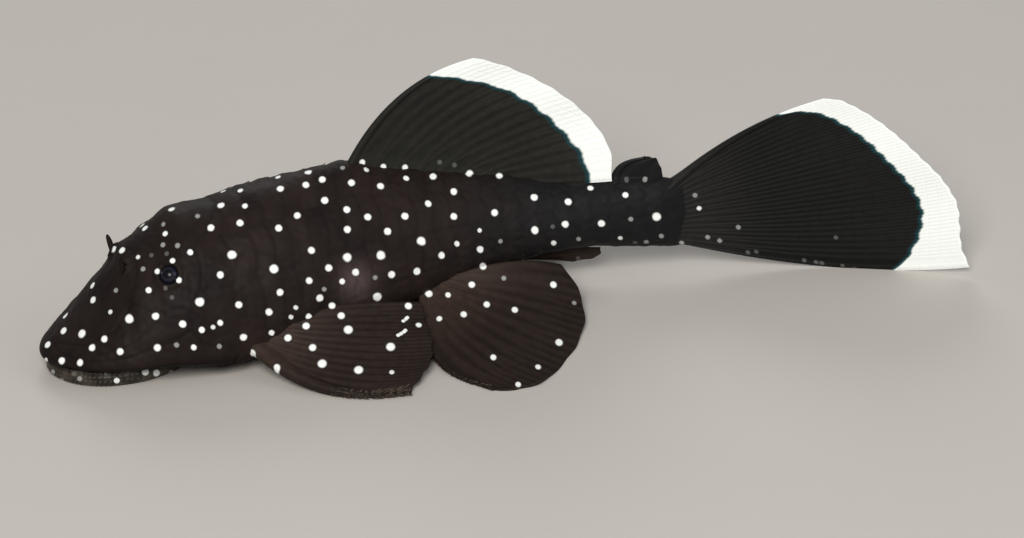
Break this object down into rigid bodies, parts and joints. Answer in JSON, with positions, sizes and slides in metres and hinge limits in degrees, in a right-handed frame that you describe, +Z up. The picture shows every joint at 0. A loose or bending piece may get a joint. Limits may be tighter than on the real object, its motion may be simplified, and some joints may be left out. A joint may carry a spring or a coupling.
{
  "type": "bristlenose pleco",
  "caption": "Still, life-size young bristlenose catfish at rest on its sucker mouth and spread paired fins: armoured body, tall back fin and a gently swung tail with a broad fin.",
  "frame": {"origin": "middle of the foot of the whole fish's bounding box, on the floor it rests on", "axes": "+X from head to tail, -Y to the fish's left side, +Z up"},
  "size_m": [0.0976, 0.0486, 0.0271],
  "materials": {
    "skin": "wet satin, near-black with small white dots",
    "fin": "wet satin web over rays, dark with white dots and a broad white seam on the back and tail fins",
    "lip": "soft, finely pimpled, grey-green",
    "eye": "clear wet gloss, blue-black"
  },
  "bodies": {
    "root": {"head": "skin", "trunk": "skin", "tail_stem": "skin", "mouth": "lip", "eye_left": "eye", "eye_right": "eye", "dorsal_fin": "fin", "adipose_fin": "fin", "caudal_fin": "fin", "anal_fin": "fin", "pectoral_fin_left": "fin", "pectoral_fin_right": "fin", "pelvic_fin_left": "fin", "pelvic_fin_right": "fin"}
  },
  "joints": []
}
